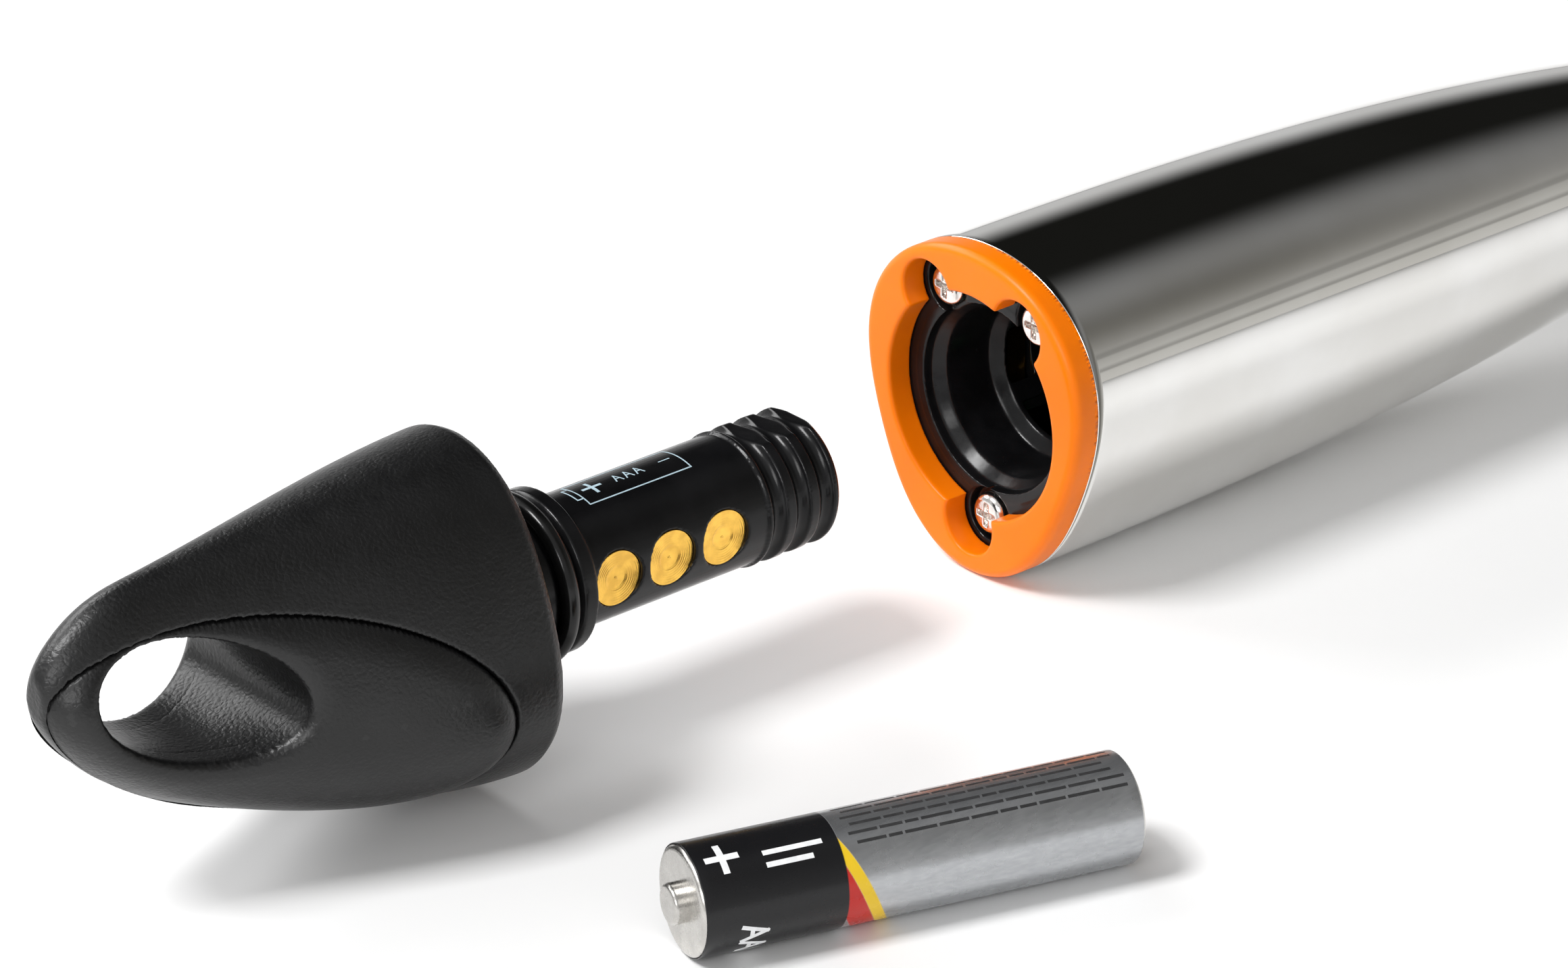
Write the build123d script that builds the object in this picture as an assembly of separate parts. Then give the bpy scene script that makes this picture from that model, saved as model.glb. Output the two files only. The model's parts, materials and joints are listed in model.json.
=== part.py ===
from build123d import *
import math
import os

# Pinpointer probe: a polished tapering body with an orange end ring, a round probe in front,
# and a twist-in battery carrier on a black cap, drawn straight back out of its socket.
# X runs along the common axis from the cap to the nose, Z is up, all lengths are millimetres.
# Stations called x are measured from the ring's open face; u is measured back from the cap's base.

# ---- overall sizes ----
section_height = 34.0        # rounded three-sided section, apex to flat side
section_width = 29.7
section_lobe = 0.85          # how far the three corners stand out
shell_length = 94.0          # ring face to the end of the polished shell
collar_length = 22.0
probe_length = 68.0          # straight stretch of the probe that a holster grips
nose_length = 14.0
cap_length = 47.7
draw_out = 22.0              # gap between the drawn carrier and the ring

# ---- fits ----
running_fit = 0.05           # radial, between parts that turn or slide in each other
seat_gap = 0.10              # around parts that only sit in place
moving_gap = 0.30            # between parts of different bodies that pass each other
screw_gap = 0.2              # around screw shanks
cut_over = 1.0               # how far a cutting solid runs past what it cuts

# ---- body ----
shell_wall = 1.0
shell_curve = 2.8            # how late the shell narrows
ring_thickness = 2.8
ring_bore_step = 2.0         # ring bore over the socket's mouth, radially
ring_edge_round = 0.9
bore_edge_round = 0.35
notch_radius = 3.3
top_screw_angle = 32.6
top_screw_step = 0.2         # screw circle over the ring bore
bottom_screw_step = 0.8
peg_radius = 0.7
peg_length = 1.8
peg_room = 0.4               # free depth past a peg's end
flange_thickness = 3.0
frame_thickness = 6.0
frame_bore_gap = 0.15

# ---- screws ----
head_radius = 2.15
head_height = 1.6
head_round = 0.55            # rounding as a share of the head's height
head_seat_radius = 2.8
head_seat_depth = 1.2
screw_radius = 1.1
screw_length = 6.4
recess_width = 0.62
recess_reach = 1.25
recess_depth = 0.9
tip_chamfer = 0.45           # as a share of the screw's radius

# ---- battery and carrier ----
cell_length = 44.5
cell_radius = 5.25
cell_nub_radius = 1.9
cell_nub_length = 1.3
jacket_thickness = 0.12
bay_clearance = 0.15
carrier_length = 40.5        # base plane to the open mouth
carrier_wall = 1.05
neck_step = 0.8              # neck over the tube, radially
flange_step = 0.75           # flange over the neck
flange_start = 8.2
flange_width = 1.4
flange_slope = 1.0
o_ring_station = 6.6
o_ring_wire = 0.9
o_ring_groove = 2.1
o_ring_stand = 1.25          # seal's outside over the neck
thread_length = 9.0
thread_pitch = 2.9
thread_rise = 0.25           # crest over the tube
thread_depth = 0.75
thread_lead_in = 0.4         # before the first groove
thread_chamfer = 0.6
groove_radius = 0.9
groove_count = 3
lug_groove = 2               # which groove the socket's lug turns in, counted from the tube
flat_cut = 0.65              # flat below the crest
flat_lead = 0.5
contact_radius = 2.7
contact_stations = (13.5, 19.9, 26.3)
contact_floor = 0.2
dish_radius = 4.2
dish_depth = 0.45
terminal_thickness = 0.5
terminal_radius = 3.4
stem_depth = 8.0             # how far the carrier's stem is let into the cap

# ---- socket ----
mouth_step = 1.0             # mouth over the seal's seat, radially
mouth_land = 1.0
mouth_taper = 1.2
mouth_lip = 1.0
seat_steepness = 0.7         # run over rise of the step behind the seal's seat
seat_margin = 0.5            # free length past the carrier's flange
socket_wall = 1.4
tube_gap = 0.75              # bore around the carrier tube, wide enough for the thread
lug_width = 0.9
lug_half_span = 1.6
spring_room = 4.2
spring_wire = 0.35
spring_turns = 3
spring_share = 0.6           # spring radius over the cell's
floor_thickness = 1.4
board_thickness = 1.0
finger_width = 2.4
finger_thickness = 0.3
finger_gap = 0.35
finger_slot_gap = 0.4
finger_share = 0.75          # finger tip's height as a share of its width
window_start = 1.6           # opening over the contact board, from the seat's end
window_length = 4.4
window_near = 0.5
window_far = 5.5
window_floor = 5.0
board_gap = 0.2
board_margin = 0.6
board_edge = 1.6
board_share = 0.3

# ---- cap ----
cap_ridge_drop = 4.6
cap_belly_rise = 15.5
cap_nose_start = 0.8
cap_tip_half_width = 4.5
cap_start_inset = 0.5
cap_rim_length = 0.02        # share of the length taken by the base's rounded rim
cap_top_gap = 0.4            # cap's apex below the section's
cap_belly_gap = 0.1
cap_ridge_power = 1.3
cap_belly_power = 1.8
cap_swell_end = 0.95
cap_least_half = 0.3
cap_shares = (0.02, 0.12, 0.26, 0.42, 0.57, 0.7, 0.8, 0.87, 0.93, 0.97, 0.992)
pad_length = 43.6
pad_width = 20.6
pad_fullness = 0.16
pad_tilt = 17.6
pad_centre_u = 26.2
pad_centre_z = -0.9
pad_proud = 0.9
pad_sink = 1.9
pad_spine = 1.2              # half the width of the cap's spine between the pads
loop_length = 19.5
loop_width = 11.3
loop_centre_u = 33.6
loop_centre_z = 3.2

# ---- front ----
collar_radius = 10.5
probe_radius = 10.0
nose_step = 0.25             # nose below the probe's straight stretch, radially
barrel_wall = 1.4
collar_spigot = 10.0
collar_spigot_wall = 1.1
probe_spigot = 8.0
probe_spigot_wall = 0.9
spigot_land = 0.5
spigot_taper = 0.5
nose_spigot = 6.0
nose_spigot_wall = 1.2
nose_straight = 0.3          # share of the nose that is straight
nose_hollow = 0.5
seal_groove_depth = 0.7
seal_groove_width = 1.3
seal_groove_back = 2.6
button_radius = 3.6
button_travel = 0.8
button_round = 0.8
button_flange_step = 1.0
button_flange_height = 1.0
bezel_wall = 1.5
bezel_stand = 0.5
bezel_foot = 1.1             # bezel's bottom below the barrel's inside
bezel_round = 0.45
button_stand = 1.0
lens_radius = 2.4
lens_rise = 0.5
lens_inset = 0.05
taper_margin = 0.4           # collar's inner taper ends this far before the bezel's hole
rod_radius = 4.0
rod_end_gap = 4.0
rod_tail_gap = 2.0
rod_chamfer = 0.4
bobbin_wall = 0.6
bobbin_flange = 1.5
bobbin_inset = 3.0
winding_radius = 7.2
winding_inset = 8.0

# ---- electronics ----
main_board_edge = 0.35       # from the board's lower corners to the barrel
main_board_top = -2.4
main_board_thickness = 1.2
main_board_gap = 2.0
controller_start = 3.0
controller_side = 7.0
controller_height = 1.1
small_chip_start = 29.8
small_chip_pitch = 6.2
small_chip_lengths = (4.0, 3.0, 5.0)
small_chip_near = 3.6
small_chip_far = 6.0
low_chip_height = 0.8
tall_chip_height = 1.4
buzzer_station = 22.0
buzzer_radius = 3.4
buzzer_height = 4.2
buzzer_round = 0.4
buzzer_port_radius = 0.8
buzzer_port_depth = 0.8
motor_station = 33.0
motor_radius = 2.8
motor_length = 7.0
motor_lift = 0.1
motor_shaft_radius = 0.4
motor_shaft_gap = 0.3
weight_length = 2.6
weight_radius = 2.6
weight_flat = 0.9            # half-round weight, cut this far above its axis
switch_half = 3.0
switch_height = 3.4
switch_stem_radius = 1.7
switch_gap = 0.2
lamp_radius = 1.5
lamp_height = 3.4
lamp_round = 1.2

# ---- where the cell lies on the ground ----
cell_x = -49.2
cell_y = -44.8
cell_turn = -17.0
cell_cap_gap = 0.3           # film's ends from the can's ends
film_gap = 0.02
can_round = 0.5
nub_round = 0.4

# ---- worked-out stations and sizes ----
shell_end = shell_length
collar_end = shell_end + collar_length
probe_end = collar_end + probe_length
nose_end = probe_end + nose_length
mean_radius = (section_height + section_width) / 4
stretch = (section_height - section_width) / 4
shell_waist = 1 - collar_radius / mean_radius  # share of the radius lost from ring to collar
apex_reach = mean_radius + stretch + section_lobe
flat_reach = mean_radius + stretch - section_lobe
base_x = -(carrier_length + draw_out)          # cap's base plane, drawn out
insert_travel = -base_x - moving_gap
bay_radius = cell_radius + bay_clearance
tube_radius = bay_radius + carrier_wall
neck_radius = tube_radius + neck_step
flange_radius = neck_radius + flange_step
thread_start = carrier_length - thread_length
thread_crest = tube_radius + thread_rise
flat_height = thread_crest - flat_cut
bay_floor = carrier_length - cell_length - terminal_thickness - 0.1
o_ring_outer = neck_radius + o_ring_stand
seat_radius = o_ring_outer + seat_gap
mouth_radius = seat_radius + mouth_step
ring_bore_radius = mouth_radius + ring_bore_step
top_screw_radius = ring_bore_radius + top_screw_step
bottom_screw_radius = ring_bore_radius + bottom_screw_step
socket_bore = tube_radius + tube_gap
barrel_outer = socket_bore + socket_wall
seat_outer = seat_radius + socket_wall
seat_end = flange_start + flange_width + moving_gap + seat_margin
flange_front = ring_thickness
socket_floor = carrier_length + spring_room
socket_end = socket_floor + floor_thickness
first_groove = thread_start + thread_lead_in + groove_radius
lug_station = first_groove + thread_pitch * (lug_groove - 1) - moving_gap
lug_inner = flat_height + moving_gap
button_x = shell_end + (collar_length - probe_spigot) / 2 + moving_gap
bezel_hole = button_radius + bezel_wall + 2 * seat_gap
bezel_bottom = collar_radius - barrel_wall - bezel_foot
board_start = socket_end + main_board_gap
probe_inside = collar_end + rod_end_gap
rod_tail = probe_end - nose_spigot - rod_tail_gap
motor_start = board_start + motor_station
motor_axis_z = main_board_top + motor_radius + motor_lift
finger_board_top = -(barrel_outer + board_gap)
probe_centre = collar_end + probe_length / 2    # the row's origin
floor_z = -apex_reach

SECTION_POINTS = 24
SHELL_SHARES = (0, 0.2, 0.4, 0.58, 0.74, 0.88, 1)


def shell_scale(x):
    """Radius of the body at x as a share of the radius at the ring."""
    return 1 - shell_waist * (max(x, 0) / shell_length) ** shell_curve


def shell_roundness(x):
    """1 where the section is three-sided, 0 where it is round."""
    return 1 - (max(x, 0) / shell_length) ** 2


def section_points(x, inset):
    """Outline of the body at x, as (y, z), apex down, moved in by inset."""
    points = []
    three = shell_roundness(x)
    for i in range(SECTION_POINTS):
        a = 2 * math.pi * i / SECTION_POINTS
        r = mean_radius + three * (stretch * math.cos(2 * a) - section_lobe * math.cos(3 * a))
        r = r * shell_scale(x) - inset
        points.append((r * math.sin(a), r * math.cos(a)))
    return points


def outline_at(x, points):
    return Plane.YZ.offset(x) * make_face(Spline(*points, periodic=True))


def body_solid(stations, inset):
    """Loft of the body's section through the given stations."""
    return loft([outline_at(x, section_points(x, inset)) for x in stations])


def body_plate(x, thickness, inset):
    return extrude(outline_at(x, section_points(0, inset)), thickness, dir=(1, 0, 0))


def rod(x0, x1, radius, y=0.0, z=0.0):
    """Cylinder along X from x0 to x1."""
    align = (Align.CENTER, Align.CENTER, Align.MIN)
    return Plane.YZ.offset(x0) * Pos(y, z, 0) * Cylinder(radius, x1 - x0, align=align)


def post(x, y, z0, z1, radius):
    """Upright cylinder from z0 to z1."""
    return Pos(x, y, z0) * Cylinder(radius, z1 - z0, align=(Align.CENTER, Align.CENTER, Align.MIN))


def block(x0, x1, y0, y1, z0, z1):
    box = Box(x1 - x0, y1 - y0, z1 - z0)
    return Pos((x0 + x1) / 2, (y0 + y1) / 2, (z0 + z1) / 2) * box


def turned(points):
    """Solid turned about the X axis from (x, radius) points."""
    return revolve(Plane.XZ * make_face(Polyline(*points, close=True)), Axis.X)


def screw_places():
    """(y, z) of the three ring screws, two at the top and one at the apex."""
    places = [(0.0, -bottom_screw_radius)]
    for side in (-1, 1):
        a = math.radians(top_screw_angle)
        places.append((side * top_screw_radius * math.sin(a), top_screw_radius * math.cos(a)))
    return places


def peg_places():
    """(y, z) of the ring's three locating pegs."""
    between = (ring_bore_radius + section_width / 2 - shell_wall) / 2
    places = [(0.0, (ring_bore_radius + flat_reach - shell_wall) / 2)]
    for side in (-1, 1):
        places.append((side * between, 0.0))
    return places


# ---- housing ----
def make_body_shell():
    start = ring_thickness + seat_gap / 2
    span = shell_end - start
    stations = [start + span * share for share in SHELL_SHARES]
    inner = [start - cut_over / 2] + stations[1:-1] + [shell_end + cut_over / 2]
    return body_solid(stations, 0) - body_solid(inner, shell_wall)


def make_end_ring():
    ring = body_plate(0, ring_thickness, 0)
    ring -= rod(-cut_over, ring_thickness + cut_over, ring_bore_radius)
    for y, z in screw_places():
        ring -= rod(-cut_over, ring_thickness + cut_over, notch_radius, y, z)
    front = ring.faces().sort_by(Axis.X)[0]
    ring = fillet(front.outer_wire().edges(), ring_edge_round)
    front = ring.faces().sort_by(Axis.X)[0]
    ring = fillet(front.inner_wires()[0].edges(), bore_edge_round)
    for y, z in peg_places():
        ring += rod(ring_thickness, ring_thickness + peg_length, peg_radius, y, z)
    return ring


def make_socket_liner():
    mouth_end = flange_front + mouth_land
    flange_back = flange_front + flange_thickness
    step = (seat_radius - socket_bore) * seat_steepness
    liner = turned([
        (flange_front, mouth_radius),
        (mouth_end, mouth_radius),
        (mouth_end + mouth_taper, seat_radius),
        (seat_end, seat_radius),
        (seat_end + step, socket_bore),
        (socket_floor, socket_bore),
        (socket_floor, 0),
        (socket_end, 0),
        (socket_end, barrel_outer),
        (seat_end + socket_wall, barrel_outer),
        (seat_end, seat_outer),
        (flange_back, seat_outer),
        (flange_back, mouth_radius + mouth_lip),
        (flange_front, mouth_radius + mouth_lip),
    ])
    flange = body_plate(flange_front + seat_gap / 2, flange_thickness, shell_wall + seat_gap)
    flange -= rod(flange_front - cut_over, flange_back + cut_over, mouth_radius + mouth_lip / 2)
    liner += flange
    head_floor = flange_front + head_seat_depth
    for y, z in screw_places():
        liner -= rod(flange_front - cut_over, head_floor, head_seat_radius, y, z)
        liner -= rod(head_floor - cut_over, flange_back + cut_over, screw_radius + screw_gap, y, z)
    for y, z in peg_places():
        liner -= rod(flange_front - cut_over, flange_front + peg_length + peg_room,
                     peg_radius + running_fit, y, z)
    # the lug that turns in the carrier's groove
    liner += block(lug_station - lug_width / 2, lug_station + lug_width / 2,
                   -lug_half_span, lug_half_span, lug_inner, socket_bore + socket_wall / 2)
    # window over the contact board, and a slot for each contact finger
    window = seat_end + window_start
    liner -= block(window, window + window_length, window_near, window_far,
                   -barrel_outer - cut_over, -window_floor)
    half = finger_width / 2 + finger_slot_gap
    for station in contact_stations:
        x = station - moving_gap
        liner -= block(x - half, x + half, socket_bore - socket_wall / 2, barrel_outer + cut_over,
                       -barrel_outer - cut_over, finger_width)
    return liner


def make_mount_frame():
    start = flange_front + flange_thickness + seat_gap
    end = start + frame_thickness
    frame = body_plate(start, frame_thickness, shell_wall + 2 * seat_gap)
    frame -= rod(start - cut_over, end + cut_over, seat_outer + frame_bore_gap)
    for y, z in screw_places():
        frame -= rod(start - cut_over, end + cut_over, screw_radius + running_fit, y, z)
    return frame


def make_screw(y, z):
    """Pan-head cross-recess screw, its head in the liner's seat."""
    seat = flange_front + head_seat_depth
    top = seat - head_height
    head = rod(top, seat, head_radius, y, z)
    head = fillet(head.edges().sort_by(Axis.X)[0], head_height * head_round)
    half = recess_width / 2
    start, floor = top - cut_over, top + recess_depth
    head -= block(start, floor, y - recess_reach, y + recess_reach, z - half, z + half)
    head -= block(start, floor, y - half, y + half, z - recess_reach, z + recess_reach)
    shank = rod(seat, seat + screw_length, screw_radius, y, z)
    tip = shank.edges().sort_by(Axis.X)[-1]
    return head + chamfer(tip, screw_radius * tip_chamfer)


def make_ring_screws():
    return Compound(children=[make_screw(y, z) for y, z in screw_places()])


def make_socket_board():
    start = flange_front + flange_thickness + frame_thickness + board_margin
    half = (socket_bore + finger_gap + finger_thickness + board_edge) * board_share
    return block(start, socket_end, -half, half, finger_board_top - board_thickness, finger_board_top)


def make_contact_springs():
    """Three fingers that press on the carrier's contacts, drawn as they lie when pressed back."""
    fingers = []
    inner = socket_bore + finger_gap
    half = finger_width / 2
    for station in contact_stations:
        x = station - moving_gap
        fingers.append(block(x - half, x + half, inner, inner + finger_thickness,
                             finger_board_top, finger_width * finger_share))
    return Compound(children=fingers)


def make_tail_spring():
    """Coil that presses on the cell's flat end."""
    radius = cell_radius * spring_share
    height = spring_room - 2 * spring_wire - moving_gap
    path = Helix(height / spring_turns, height, radius)
    section = (path ^ 0) * Circle(spring_wire)
    coil = sweep(section, path=path, is_frenet=True)
    return Plane.YZ.offset(socket_floor - spring_wire - running_fit - height) * coil


def make_main_board():
    barrel = collar_radius - shell_wall - 2 * seat_gap - collar_spigot_wall
    low = main_board_thickness - main_board_top
    half = math.sqrt(barrel ** 2 - low ** 2) - main_board_edge
    end = probe_inside - main_board_gap
    return block(board_start, end, -half, half, main_board_top - main_board_thickness, main_board_top)


def make_board_chips():
    """Controller, amplifier, regulator and small parts on the board's upper face."""
    top = main_board_top
    start, half = board_start + controller_start, controller_side / 2
    near, far = small_chip_near, small_chip_far
    chips = [block(start, start + controller_side, -half, half, top, top + controller_height)]
    for i, length in enumerate(small_chip_lengths):
        x = board_start + small_chip_start - small_chip_pitch * i
        chips.append(block(x, x + length, near, far, top, top + low_chip_height))
        chips.append(block(x, x + length, -far, -near, top, top + tall_chip_height))
    return Compound(children=chips)


def make_buzzer():
    x = board_start + buzzer_station
    top = main_board_top + buzzer_height
    can = post(x, 0, main_board_top, top, buzzer_radius)
    can = fillet(can.edges().sort_by(Axis.Z)[-1], buzzer_round)
    return can - post(x, 0, top - buzzer_port_depth, top + cut_over, buzzer_port_radius)


def make_vibration_motor():
    end = motor_start + motor_length
    can = rod(motor_start, end, motor_radius, 0, motor_axis_z)
    return can + rod(end, end + weight_length + 2 * motor_shaft_gap, motor_shaft_radius, 0, motor_axis_z)


def make_motor_weight():
    x0 = motor_start + motor_length + motor_shaft_gap
    x1 = x0 + weight_length
    disc = rod(x0, x1, weight_radius, 0, motor_axis_z)
    disc -= block(x0 - cut_over, x1 + cut_over, -weight_radius - cut_over, weight_radius + cut_over,
                  motor_axis_z + weight_flat, motor_axis_z + weight_radius + cut_over)
    return disc - rod(x0 - cut_over, x1 + cut_over, motor_shaft_radius + running_fit, 0, motor_axis_z)


def make_tact_switch():
    x, half = button_x, switch_half
    top = main_board_top + switch_height
    body = block(x - half, x + half, -half, half, main_board_top, top)
    stem_top = bezel_bottom - button_flange_height - seat_gap - button_travel - switch_gap
    return body + post(x, 0, top, stem_top, switch_stem_radius)


def make_control_collar():
    inner = collar_radius - barrel_wall
    spigot = collar_radius - shell_wall - 2 * seat_gap
    spigot_inner = spigot - collar_spigot_wall
    start = shell_end - collar_spigot
    groove = shell_end - seal_groove_back
    depth = spigot - seal_groove_depth
    taper_end = button_x - bezel_hole - taper_margin
    collar = turned([
        (start, spigot_inner), (taper_end - (inner - spigot_inner), spigot_inner), (taper_end, inner),
        (collar_end, inner), (collar_end, collar_radius),
        (shell_end + running_fit, collar_radius), (shell_end + running_fit, spigot),
        (groove + seal_groove_width, spigot), (groove + seal_groove_width, depth),
        (groove, depth), (groove, spigot), (start, spigot),
    ])
    collar -= post(button_x, 0, 0, collar_radius + cut_over, bezel_hole)
    return collar - post(button_x, 0, -collar_radius - cut_over, 0, lens_radius + running_fit)


def make_collar_seal():
    """Ring that just fills the space between its groove and the shell around it."""
    x = shell_end - seal_groove_back + seal_groove_width / 2
    floor = collar_radius - shell_wall - 2 * seat_gap - seal_groove_depth + running_fit
    narrow = mean_radius - shell_roundness(x) * (stretch + section_lobe)
    room = narrow * shell_scale(x) - shell_wall - running_fit
    return Plane.YZ.offset(x) * Torus((floor + room) / 2, (room - floor) / 2)


def make_button_bezel():
    top = collar_radius + bezel_stand
    bezel = post(button_x, 0, bezel_bottom, top, bezel_hole - seat_gap)
    bezel = fillet(bezel.edges().sort_by(Axis.Z)[-1], bezel_round)
    return bezel - post(button_x, 0, bezel_bottom - cut_over, top + cut_over, button_radius + moving_gap / 2)


def make_power_button():
    flange_top = bezel_bottom - seat_gap
    flange_bottom = flange_top - button_flange_height
    key = post(button_x, 0, flange_bottom + seat_gap, collar_radius + button_stand, button_radius)
    key = fillet(key.edges().sort_by(Axis.Z)[-1], button_round)
    return key + post(button_x, 0, flange_bottom, flange_top, button_radius + button_flange_step)


def make_led_lens():
    """Clear window for the lamp, flush with the collar's underside."""
    lens = post(button_x, 0, -collar_radius - cut_over, -collar_radius + barrel_wall + lens_rise, lens_radius)
    return lens & rod(button_x - 2 * lens_radius, button_x + 2 * lens_radius, collar_radius - lens_inset)


def make_lamp():
    z = main_board_top - main_board_thickness
    lamp = post(button_x, 0, z - lamp_height, z, lamp_radius)
    return fillet(lamp.edges().sort_by(Axis.Z)[0], lamp_round)


def make_probe_tube():
    inner = probe_radius - barrel_wall
    spigot = collar_radius - barrel_wall - seat_gap
    spigot_inner = spigot - probe_spigot_wall
    start = collar_end - probe_spigot
    land_end = collar_end + spigot_land
    return turned([
        (start, spigot_inner), (land_end, spigot_inner), (land_end + spigot_taper, inner),
        (probe_end, inner), (probe_end, probe_radius),
        (collar_end + running_fit, probe_radius), (collar_end + running_fit, spigot),
        (start, spigot),
    ])


def make_nose_cap():
    """Rounded nose with a spigot let into the probe tube."""
    radius = probe_radius - nose_step
    spigot = probe_radius - barrel_wall - seat_gap
    start = probe_end + running_fit
    dome_start = start + nose_length * nose_straight
    with_dome = Plane.XZ * make_face(
        Polyline((start, 0), (start, radius), (dome_start, radius))
        + EllipticalCenterArc((dome_start, 0), nose_end - dome_start, radius,
                              start_angle=0, arc_size=90)
        + Line((nose_end, 0), (start, 0))
    )
    nose = revolve(with_dome, Axis.X)
    back = probe_end - nose_spigot
    nose += rod(back, start + cut_over, spigot)
    return nose - rod(back - cut_over, start + nose_length * nose_hollow, spigot - nose_spigot_wall)


def make_ferrite_rod():
    ferrite = rod(probe_inside, rod_tail, rod_radius)
    return chamfer(ferrite.edges().filter_by(GeomType.CIRCLE), rod_chamfer)


def make_coil_bobbin():
    inner = rod_radius + running_fit
    outer = inner + bobbin_wall
    rim = probe_radius - barrel_wall - seat_gap
    a, b = probe_inside + bobbin_inset, rod_tail - bobbin_inset
    return turned([
        (a, inner), (b, inner), (b, rim), (b - bobbin_flange, rim), (b - bobbin_flange, outer),
        (a + bobbin_flange, outer), (a + bobbin_flange, rim), (a, rim),
    ])


def make_search_coil():
    inner = rod_radius + 2 * running_fit + bobbin_wall
    a, b = probe_inside + winding_inset, rod_tail - winding_inset
    return rod(a, b, winding_radius) - rod(a - cut_over, b + cut_over, inner)


# ---- cap and battery carrier, modelled drawn out ----
def cap_point(share, angle, inset):
    """(y, z) on the cap's outline at share of its length, apex up, moved in by inset."""
    top = apex_reach - cap_top_gap - cap_ridge_drop * share ** cap_ridge_power
    bottom = -flat_reach - cap_belly_gap + cap_belly_rise * share ** cap_belly_power
    past = max(0.0, (share - cap_nose_start) / (1 - cap_nose_start))
    close = math.sqrt(max(0.0, 1 - past ** 2))
    base_half = section_width / 2
    swell = (1 + math.cos(math.pi * min(1, share / cap_swell_end))) / 2
    half_width = (cap_tip_half_width + (base_half - cap_tip_half_width) * swell) * close
    half_height = (top - bottom) / 2 * close
    middle = (top + bottom) / 2
    r = mean_radius + stretch * math.cos(2 * angle) - section_lobe * math.cos(3 * angle)
    y = r * math.sin(angle) / base_half
    z = -(r * math.cos(angle) + section_lobe) / (section_height / 2)
    return y * max(half_width - inset, cap_least_half), middle + z * max(half_height - inset, cap_least_half)


def cap_face(share, inset):
    angles = [2 * math.pi * i / SECTION_POINTS for i in range(SECTION_POINTS)]
    points = [cap_point(share, a, inset) for a in angles]
    return outline_at(base_x - share * cap_length, points)


def cap_solid(inset):
    """Loft of the cap; inset is positive inwards, negative for the raised pads' face."""
    main = loft([cap_face(s, inset) for s in cap_shares])
    rim = loft([cap_face(0, inset + cap_start_inset), cap_face(cap_rim_length, inset)], ruled=True)
    return main + rim


def side_oval(length, width, fullness, u, z, grow):
    """Oval in the side view, fuller towards the base, as a bar right through along Y."""
    a, b = length / 2 + grow, width / 2 + grow
    tilt = math.radians(pad_tilt)
    points = []
    for i in range(SECTION_POINTS):
        t = 2 * math.pi * i / SECTION_POINTS
        along, across = a * math.cos(t), b * math.sin(t) * (1 + fullness * math.cos(t))
        along, across = (along * math.cos(tilt) + across * math.sin(tilt),
                         across * math.cos(tilt) - along * math.sin(tilt))
        points.append((base_x - u + along, z + across))
    face = Plane.XZ * make_face(Spline(*points, periodic=True))
    return extrude(face, section_width, both=True)


def pad_bar(grow):
    return side_oval(pad_length, pad_width, pad_fullness, pad_centre_u, pad_centre_z, grow)


def loop_bar(grow):
    return side_oval(loop_length, loop_width, 0, loop_centre_u, loop_centre_z, grow)


def make_cap_body():
    cap = cap_solid(0)
    # the pads' recesses, cut down to an inner surface that follows the cap
    cap -= pad_bar(0) - cap_solid(pad_sink + seat_gap) - cap_half(-pad_spine, pad_spine)
    cap -= loop_bar(0)
    return cap - rod(base_x - stem_depth - seat_gap, base_x + cut_over, neck_radius + running_fit)


def make_cap_pad(side):
    pad = (pad_bar(-seat_gap) & cap_solid(-pad_proud)) - cap_solid(pad_sink)
    pad -= loop_bar(0)
    near, far = pad_spine + seat_gap, section_width
    if side < 0:
        near, far = -far, -near
    return pad & cap_half(near, far)


def cap_half(y0, y1):
    """Block that takes in the whole cap between two widths."""
    return block(base_x - cap_length - cut_over, base_x + cut_over, y0, y1, -section_height, section_height)


def make_battery_carrier():
    """Neck with its seal groove, flange, contact tube and coarse ridges with a lengthwise flat."""
    b = base_x
    groove0 = b + o_ring_station - o_ring_groove / 2
    groove1 = groove0 + o_ring_groove
    groove_root = o_ring_outer - 2 * o_ring_wire - running_fit
    flange0 = b + flange_start
    flange1 = flange0 + flange_width
    mouth = b + carrier_length
    floor = b + bay_floor
    thread0 = b + thread_start
    carrier = turned([
        (b - stem_depth, 0), (b - stem_depth, neck_radius), (groove0, neck_radius),
        (groove0, groove_root), (groove1, groove_root), (groove1, neck_radius),
        (flange0, flange_radius), (flange1, flange_radius),
        (flange1 + flange_slope, tube_radius), (thread0, tube_radius),
        (thread0, bay_radius), (floor, bay_radius), (floor, 0),
    ])
    threaded = rod(thread0, mouth, thread_crest)
    threaded = chamfer(threaded.edges().sort_by(Axis.X)[-1], thread_chamfer)
    threaded -= rod(thread0 - cut_over, mouth + cut_over, bay_radius)
    for i in range(groove_count):
        threaded -= thread_groove(b + first_groove + thread_pitch * i)
    threaded -= block(thread0 + flat_lead, mouth + cut_over, -thread_crest, thread_crest,
                      flat_height, thread_crest + cut_over)
    carrier += threaded
    for station in contact_stations:
        carrier -= contact_bar(b + station, contact_radius + running_fit)
    return carrier


def contact_bar(x, radius):
    """Bar along -Y for one contact or its pocket."""
    align = (Align.CENTER, Align.CENTER, Align.MIN)
    place = Plane(origin=(x, -bay_radius - contact_floor, 0), x_dir=(1, 0, 0), z_dir=(0, -1, 0))
    return place * Cylinder(radius, tube_radius, align=align)


def thread_groove(x):
    """Round groove between two ridges, which the socket's lug can run round in."""
    return Plane.YZ.offset(x) * Torus(thread_crest - thread_depth + groove_radius, groove_radius)


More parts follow.
